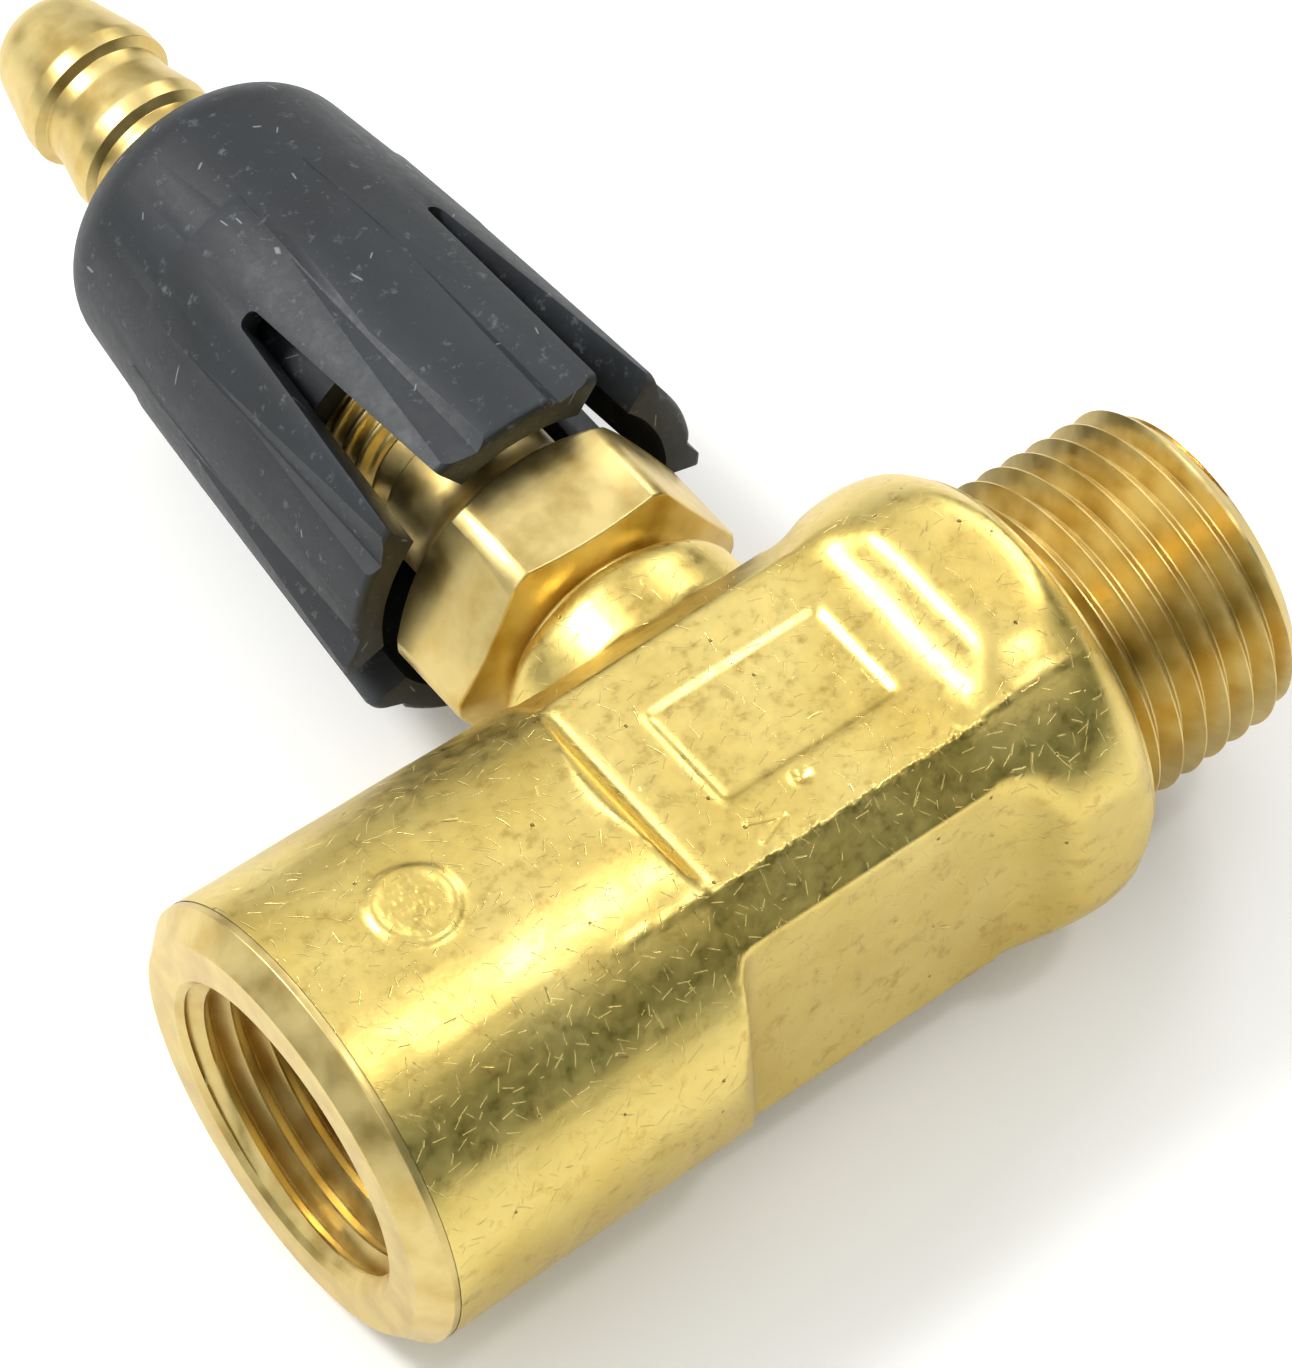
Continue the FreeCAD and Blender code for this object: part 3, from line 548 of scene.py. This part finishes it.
bodyLook = {
    "shadeDegrees": 35, "voxel": 0.26, "smoothSteps": 3, "waveMm": 2.6, "waveHeight": 0.035,
    "skinStart": 1.6, "flangeFace": 42.1, "bossRadius": 11.5, "chamfer": 1.2, "taper": 0.4 / 18.45,
    "mouthRadius": 8.25, "inletDepth": 13.8, "jetBore": 5.0, "jetBoreEnd": 26.6, "jetSeat": 15.0,
    "faceRing": 9.95, "flangeSoftening": 24, "flangeFoot": 34.0, "flangeRim": 41.4,
    "tip": 52.4, "tipRadius": 7.45, "outletRadius": 5.5, "outletSeat": 47.0, "outletChamfer": 0.3,
    "diffuserBore": 4.45, "diffuserStart": 28.9,
    "runOpening": 7.95, "faceOpening": 9.3, "branchOpening": 5.12, "branchFloor": 3.0,
    "marksAbove": 6.0, "bossEnd": 14.0,
    "markX": 8.2, "markRadius": 1.95, "markWidth": 0.32, "moatShift": 0.6, "moatDepth": 0.14,
    "middleHeight": 0.12, "flashY": -6.34, "flashWidth": 0.2, "flashHeight": 0.16, "flashFrom": 20.4,
    "flashTo": 36.5, "punch": (26.7, -3.8), "punchRadius": 0.42, "punchDepth": 0.25,
    "arrow": (24.0, -5.0), "arrowReach": 1.5, "arrowSpread": 0.62, "arrowWidth": 0.15, "arrowDepth": 0.11,
}

maleThread = {
    "start": 42.1, "end": 52.4, "radius": 8.57, "pitch": 1.411, "depth": 0.95, "crestFlat": 0.06,
    "taper": 1 / 32, "segments": 144, "stepsPerPitch": 12, "inside": False,
}
maleThread["limit"] = lambda x: min(8.7, bodyLook["tipRadius"] + (maleThread["end"] - x) * 0.9)

inletThread = {
    "start": 0.3, "end": 13.8, "radius": 7.45, "pitch": 1.411, "depth": 0.75, "crestFlat": 0.08,
    "taper": 1 / 32, "segments": 128, "stepsPerPitch": 12, "inside": True, "mouth": 0.3,
}
inletThread["limit"] = lambda x: max(8.17 - x * 0.8, 6.9)


def bump(distance, width):
    return math.exp(-(distance / width) ** 2)


def segmentDistance(x, y, start, end):
    ahead = Vector(end) - Vector(start)
    arm = Vector((x, y)) - Vector(start)
    share = min(max(arm.dot(ahead) / ahead.length_squared, 0), 1)
    return (arm - ahead * share).length


def boldMarks(look, place):
    # height in mm that the die and the punch left above the plain skin
    x, y = place.x, place.y
    grit = noise.noise(place * 1.9) * 0.5 + noise.noise(place * 5.0) * 0.3
    if x < look["bossEnd"]:
        away = math.hypot(x - look["markX"], y)
        ring = bump(away - look["markRadius"], look["markWidth"])
        moat = bump(away, look["markRadius"] + look["moatShift"]) * (1 - ring) * look["moatDepth"]
        middle = bump(away, look["markRadius"] * 0.7) * look["middleHeight"] * grit
        return middle - moat
    flash = bump(y - look["flashY"] + 0.12 * grit, look["flashWidth"]) * look["flashHeight"]
    flash *= max(0, 0.45 + grit)
    dot = bump(math.hypot(x - look["punch"][0], y - look["punch"][1]), look["punchRadius"])
    arrowX, arrowY = look["arrow"]
    half = look["arrowReach"] / 2
    point = (arrowX + half, arrowY)
    barbs = min(segmentDistance(x, y, point, (arrowX - half, arrowY + side * look["arrowSpread"]))
                for side in (1, -1))
    arrow = bump(barbs, look["arrowWidth"])
    return flash - dot * look["punchDepth"] - arrow * look["arrowDepth"]


def makeBody(look):
    # forged skin: the solid remeshed and softened as a die leaves it, then opened where tools cut it
    skin = nodeCopy("body", "forgedSkin")
    applyModifier(skin, "REMESH", mode="VOXEL", voxel_size=look["voxel"] * mm, adaptivity=0.0,
                  use_smooth_shade=True)
    applyModifier(skin, "SMOOTH", factor=0.5, iterations=look["smoothSteps"])

    def hidden(place):
        fromRun = math.hypot(place.y, place.z)
        inside = fromRun < look["runOpening"]
        throughFace = place.x > look["flangeFace"] - 0.5 and fromRun < look["faceOpening"]
        pastFace = place.x > look["flangeFace"] + 0.1
        fromBranch = math.hypot(place.x - branchX, place.z)
        branchBore = fromBranch < look["branchOpening"] and place.y > look["branchFloor"]
        return inside or throughFace or pastFace or branchBore
    deleteFaces(skin, hidden)
    cutPlane(skin, (look["skinStart"] * mm, 0, 0), alongRun, keepBelow=False)

    def marked(place):
        if place.z < look["marksAbove"]:
            return False
        onMark = math.hypot(place.x - look["markX"], place.y) < 2.8
        onFlash = look["flashFrom"] < place.x < look["flashTo"] and abs(place.y - look["flashY"]) < 0.6
        onPunch = math.hypot(place.x - look["punch"][0], place.y - look["punch"][1]) < 0.9
        onArrow = math.hypot(place.x - look["arrow"][0], place.y - look["arrow"][1]) < 1.4
        return onMark or onFlash or onPunch or onArrow
    selectFaces(skin, lambda place: look["flangeFoot"] < place.x < look["flangeRim"])
    bpy.ops.mesh.vertices_smooth(factor=0.5, repeat=look["flangeSoftening"])
    leaveEdit()
    refineFaces(skin, marked, 2)
    normals = [vertex.normal.copy() for vertex in skin.data.vertices]
    for vertex, normal in zip(skin.data.vertices, normals):
        place = vertex.co / mm
        fade = min(max(place.x - look["skinStart"], 0), 1)  # over 1 mm at each end
        fade *= min(max(look["flangeFace"] - 0.3 - place.x, 0), 1)
        wave = noise.noise(place / look["waveMm"]) * look["waveHeight"] * fade
        vertex.co += normal * wave * mm
        if place.z > look["marksAbove"]:
            slope = place.y / look["bossRadius"] if place.x < look["bossEnd"] else 0
            vertex.co += Vector((0, slope, 1)).normalized() * boldMarks(look, place) * mm
    print("forged skin", len(skin.data.polygons))
    return skin


def makeInletEnd(look):
    rim = look["bossRadius"] - look["taper"] * look["skinStart"]
    corners = [
        (look["skinStart"] + 0.05, rim - 0.03),
        (look["skinStart"] - 0.05, rim),
        (look["chamfer"], look["bossRadius"] - 0.02, 0.12),
        (0, look["bossRadius"] - look["chamfer"], 0.12),
        (0, look["mouthRadius"], 0.08),
        (inletThread["mouth"], inletThread["limit"](inletThread["mouth"]))]
    return spunPiece("inletEnd", corners, "X")


def makeInletBore(look):
    low = inletThread["radius"] - inletThread["taper"] * inletThread["end"]
    corners = [
        (look["inletDepth"], low),
        (look["jetSeat"], low),
        (look["jetSeat"], look["jetBore"]),
        (look["jetBoreEnd"], look["jetBore"]),
        (look["jetBoreEnd"], 0)]
    return spunPiece("inletBore", corners, "X")


def makeOutletEnd(look):
    face = look["flangeFace"]
    flange = spunPiece("flangeFace", [
        (face - 0.2, look["faceRing"]),
        (face + 0.03, look["faceRing"], 0.03),
        (face + 0.03, look["tipRadius"] - 0.05)], "X")
    tip = spunPiece("outletTip", [
        (look["tip"], look["tipRadius"]),
        (look["tip"], look["outletRadius"] + look["outletChamfer"]),
        (look["tip"] - look["outletChamfer"], look["outletRadius"]),
        (look["outletSeat"], look["outletRadius"]),
        (look["outletSeat"], look["diffuserBore"]),
        (look["diffuserStart"], look["diffuserBore"]),
        (look["diffuserStart"], 0)], "X")
    return [flange, tip]


# gland

glandLook = {
    "shankRadius": 5.0, "shankTop": 12.6, "pocketRadius": 3.6, "pocketTop": 14.5, "boreRadius": 2.95,
    "collarRadius": 5.3, "collarStart": 12.88, "hexFoot": 13.3, "hexLow": 14.0, "hexTop": 18.95,
    "cornerRadius": 8.0, "acrossFlats": 14.29, "neckStart": 21.3, "neckRadius": 4.5, "flareRound": 2.5,
    "reliefStart": 25.0, "reliefRadius": 3.9, "top": 36.0, "bevel": 0.12, "bevelDegrees": 32,
    "shadeDegrees": 35,
}

neckThread = {
    "start": 26.6, "end": 35.6, "radius": 4.72, "root": 3.95, "pitch": 1.058, "depth": 0.55,
    "crestFlat": 0.12,
    "taper": 0, "segments": 96, "stepsPerPitch": 6, "inside": False,
}
neckThread["limit"] = lambda y: min(neckThread["radius"],
                                    neckThread["root"] + (y - neckThread["start"]) * 1.2,
                                    neckThread["root"] + (neckThread["end"] - y) * 1.2)


def makeGland(look):
    shank = nodeCopy("gland", "glandShank")
    cutPlane(shank, branchFoot + alongBranch * look["shankTop"] * mm, alongBranch, keepBelow=True)
    gland = spunPiece("glandTurned", [
        (look["shankTop"], look["pocketRadius"]),
        (look["pocketTop"], look["pocketRadius"]),
        (look["pocketTop"], look["boreRadius"]),
        (look["top"], look["boreRadius"]),
        (look["top"], look["reliefRadius"] - 0.2),
        (look["top"] - 0.4, look["reliefRadius"]),
        (look["reliefStart"], look["reliefRadius"]),
        (look["reliefStart"], look["neckRadius"]),
        (look["neckStart"], look["neckRadius"], look["flareRound"]),
        (look["hexTop"], look["cornerRadius"]),
        (look["hexLow"], look["cornerRadius"]),
        (look["hexFoot"], look["collarRadius"]),
        (look["collarStart"], look["collarRadius"], 0.12),
        (look["collarStart"], look["shankRadius"]),
        (look["shankTop"], look["shankRadius"])], "Y", segments=96)
    apothem = look["acrossFlats"] / 2 * mm
    for side in range(6):
        angle = math.radians(30 + 60 * side)
        normal = Vector((math.cos(angle), 0, math.sin(angle)))
        cutPlane(gland, branchFoot + normal * apothem, normal, keepBelow=True, fill=True)
    applyModifier(gland, "BEVEL", width=look["bevel"] * mm, segments=2, limit_method="ANGLE",
                  angle_limit=math.radians(look["bevelDegrees"]), use_clamp_overlap=True)
    thread = threadedSleeve("neckThread", neckThread, "Y")
    return joinPieces("glandBody", [gland, shank, thread])


# knob

knobLook = {"edgeRound": 0.16, "sharpDegrees": 28, "flatDegrees": 1.5, "shadeDegrees": 60}


def makeKnob(look):
    # the moulding's own faces, joined up where they are flat, with its edges rounded as the mould leaves them
    knob = nodeCopy("knob", "knobMoulding")
    editPiece(knob)
    bpy.ops.mesh.remove_doubles(threshold=0.002 * mm)
    bpy.ops.mesh.dissolve_limited(angle_limit=math.radians(look["flatDegrees"]))
    leaveEdit()
    applyModifier(knob, "BEVEL", width=look["edgeRound"] * mm, segments=3, limit_method="ANGLE",
                  angle_limit=math.radians(look["sharpDegrees"]), use_clamp_overlap=True)
    print("knob", len(knob.data.polygons))
    return knob


# hose barb

barbLook = {
    "stemTop": 45.5, "rootRadius": 3.5, "root": 48.6, "neck": 3.45,
    "edgeTwo": 50.35, "edgeOne": 54.65, "radius": 3.97, "land": 0.9, "tip": 60.59, "bore": 1.3,
    "noseRadius": 2.8, "noseRound": 2.7, "shadeDegrees": 35,
}


def makeBarb(look):
    stem = nodeCopy("hose_barb", "slidingStem")
    cutPlane(stem, branchFoot + alongBranch * look["stemTop"] * mm, alongBranch, keepBelow=True)
    corners = [
        (look["stemTop"], look["rootRadius"]),
        (look["root"] + look["land"], look["rootRadius"], 0.05),
        (look["edgeTwo"] - 0.35, look["neck"], 0.08),
        (look["edgeTwo"], look["radius"] - 0.05, 0.06),
        (look["edgeTwo"] + look["land"], look["radius"], 0.9),
        (look["edgeOne"] - 1.2, look["neck"], 0.9),
        (look["edgeOne"] - 0.3, look["neck"], 0.08),
        (look["edgeOne"], look["radius"], 0.06),
        (look["edgeOne"] + look["land"], look["radius"], 0.9),
        (look["tip"] - 0.45, look["noseRadius"], look["noseRound"]),
        (look["tip"], look["bore"]),
        (look["stemTop"], look["bore"])]
    barb = spunPiece("barbTurned", corners, "Y", segments=128, arcSteps=8)
    return joinPieces("suctionBarb", [barb, stem])


# scene

def makeCamera(view):
    place = Vector(view["place"])
    ahead = (Vector(view["target"]) - place).normalized()
    side = ahead.cross(Vector((0, 0, 1))).normalized()
    upright = side.cross(ahead)
    roll = math.radians(view["rollDegrees"])
    up = upright * math.cos(roll) + side * math.sin(roll)
    right = ahead.cross(up)
    turn = Matrix((right, up, -ahead)).transposed()
    bpy.ops.object.camera_add(location=place, rotation=turn.to_euler())
    camera = bpy.context.object
    camera.data.sensor_width = view["sensor"]
    camera.data.lens = view["lens"]
    camera.data.clip_start = view["near"]
    camera.data.clip_end = view["far"]
    bpy.context.scene.camera = camera


def aimedLamp(name, place, size, power):
    bpy.ops.object.light_add(type="AREA", location=place)
    lamp = bpy.context.object
    lamp.name = name
    lamp.data.size = size
    lamp.data.energy = power
    aim = branchFoot + alongBranch * 20 * mm - Vector(place)
    lamp.rotation_euler = aim.to_track_quat("-Z", "Y").to_euler()


def makeStudio(look):
    # an even pale dome overhead, dimmer low down on the near side, so that metal has something to mirror
    world = bpy.data.worlds.new("studio")
    bpy.context.scene.world = world
    world.use_nodes = True
    tree = world.node_tree
    tree.nodes.clear()
    way = addNode(tree, "ShaderNodeTexCoord").outputs["Generated"]
    split = addNode(tree, "ShaderNodeSeparateXYZ", links={0: way})
    lean = addNode(tree, "ShaderNodeMath", {"operation": "MULTIPLY_ADD"}, {1: look["lean"]},
                   {0: split.outputs["Y"], 2: split.outputs["Z"]})
    height = addNode(tree, "ShaderNodeMapRange", values={"From Min": -1.0, "From Max": 1.0},
                     links={"Value": lean.outputs[0]})
    dome = addNode(tree, "ShaderNodeValToRGB", links={"Fac": height.outputs["Result"]})
    low = [c * look["lowLevel"] for c in linearColour(look["lowColour"])]
    high = [c * look["skyLevel"] for c in linearColour(look["skyColour"])]
    setRamp(dome, [(0.60, low), (0.84, high)])
    path = addNode(tree, "ShaderNodeLightPath")
    plain = addNode(tree, "ShaderNodeBackground", links={"Color": dome.outputs["Color"]})
    white = addNode(tree, "ShaderNodeBackground", values={"Color": grey(1), "Strength": 1.0})
    seen = addNode(tree, "ShaderNodeMath", {"operation": "MAXIMUM"},
                   links={0: path.outputs["Is Camera Ray"], 1: path.outputs["Is Transmission Ray"]})
    mixed = addNode(tree, "ShaderNodeMixShader", links={0: seen.outputs[0], 1: plain.outputs[0],
                                                        2: white.outputs[0]})
    addNode(tree, "ShaderNodeOutputWorld", links={"Surface": mixed.outputs[0]})
    aimedLamp("keyLamp", look["keyPlace"], look["keySize"], look["keyPower"])
    aimedLamp("fillLamp", look["fillPlace"], look["fillSize"], look["fillPower"])
    aimedLamp("rimLamp", look["rimPlace"], look["rimSize"], look["rimPower"])
    aimedLamp("glintLamp", look["glintPlace"], look["glintSize"], look["glintPower"])
    floorHeight = cadLow.z - look["floorGap"] * mm
    bpy.ops.mesh.primitive_plane_add(size=look["floorSize"], location=(*look["floorCentre"], floorHeight))
    floor = bpy.context.object
    floor.name = "floor"
    material, floorTree, place = newMaterial("matt white paper")
    paper = addNode(floorTree, "ShaderNodeBsdfPrincipled",
                    values={"Base Color": linearColour(look["floorColour"]), "Roughness": 0.8})
    floorPath = addNode(floorTree, "ShaderNodeLightPath")
    direct = addNode(floorTree, "ShaderNodeMath", {"operation": "MAXIMUM"},
                     links={0: floorPath.outputs["Is Camera Ray"],
                            1: floorPath.outputs["Is Transmission Ray"]})
    shown = addNode(floorTree, "ShaderNodeMath", {"operation": "MULTIPLY"}, {1: look["floorLift"]},
                    {0: direct.outputs[0]})
    lift = addNode(floorTree, "ShaderNodeEmission", links={"Strength": shown.outputs[0]})
    white = addNode(floorTree, "ShaderNodeAddShader", links={0: paper.outputs["BSDF"], 1: lift.outputs[0]})
    addNode(floorTree, "ShaderNodeOutputMaterial", links={"Surface": white.outputs[0]})
    paint(floor, material)
    bpy.context.scene.view_settings.view_transform = "Standard"


forged = forgedBrassMaterial(forgedBrass)
turnedRun = turnedBrassMaterial("turned brass, run", turnedBrass, "X")
turnedBranch = turnedBrassMaterial("turned brass, branch", turnedBrass, "Y")
nylon = knobNylonMaterial(knobNylon)
rubber = plainRubberMaterial()
steel = springSteelMaterial()
print("materials ready")

skin = makeBody(bodyLook)
paint(skin, forged, turnedRun)
turnedParts = [makeInletEnd(bodyLook), makeInletBore(bodyLook)]
turnedParts += [threadedSleeve("inletThread", inletThread, "X")]
turnedParts += makeOutletEnd(bodyLook) + [threadedSleeve("maleThread", maleThread, "X")]
for part in turnedParts:
    paint(part, turnedRun)
body = joinPieces("injectorBody", [skin] + turnedParts)
smoothByAngle(body, bodyLook["shadeDegrees"])
print("body ready", len(body.data.polygons))

gland = makeGland(glandLook)
paint(gland, turnedBranch)
smoothByAngle(gland, glandLook["shadeDegrees"])
knob = makeKnob(knobLook)
paint(knob, nylon)
smoothByAngle(knob, knobLook["shadeDegrees"])
barb = makeBarb(barbLook)
paint(barb, turnedBranch)
smoothByAngle(barb, barbLook["shadeDegrees"])
print("branch ready")

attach(body, "tee")
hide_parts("body")
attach(gland, "tee")
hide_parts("gland")
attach(knob, "knob")
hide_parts("knob")
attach(barb, "stem")
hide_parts("hose_barb")

# check spring: it shortens as the ball lifts
spring = nodeCopy("check_spring", "checkSpringCoil")
paint(spring, steel)
smoothByAngle(spring, 40)
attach(spring, "tee")
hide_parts("check_spring")
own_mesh(spring)

finishes = {"turned_brass": turnedBranch, "seal_rubber": rubber, "spring_steel": steel,
            "forged_brass": forged, "knob_plastic": nylon}
for entry in record["subparts"]:
    if entry["node"] not in ("body", "gland", "knob", "hose_barb", "check_spring"):
        dressNode(entry["node"], finishes[entry["material_slot"]])

makeStudio(studio)
makeCamera(cameraView)
print("studio ready")
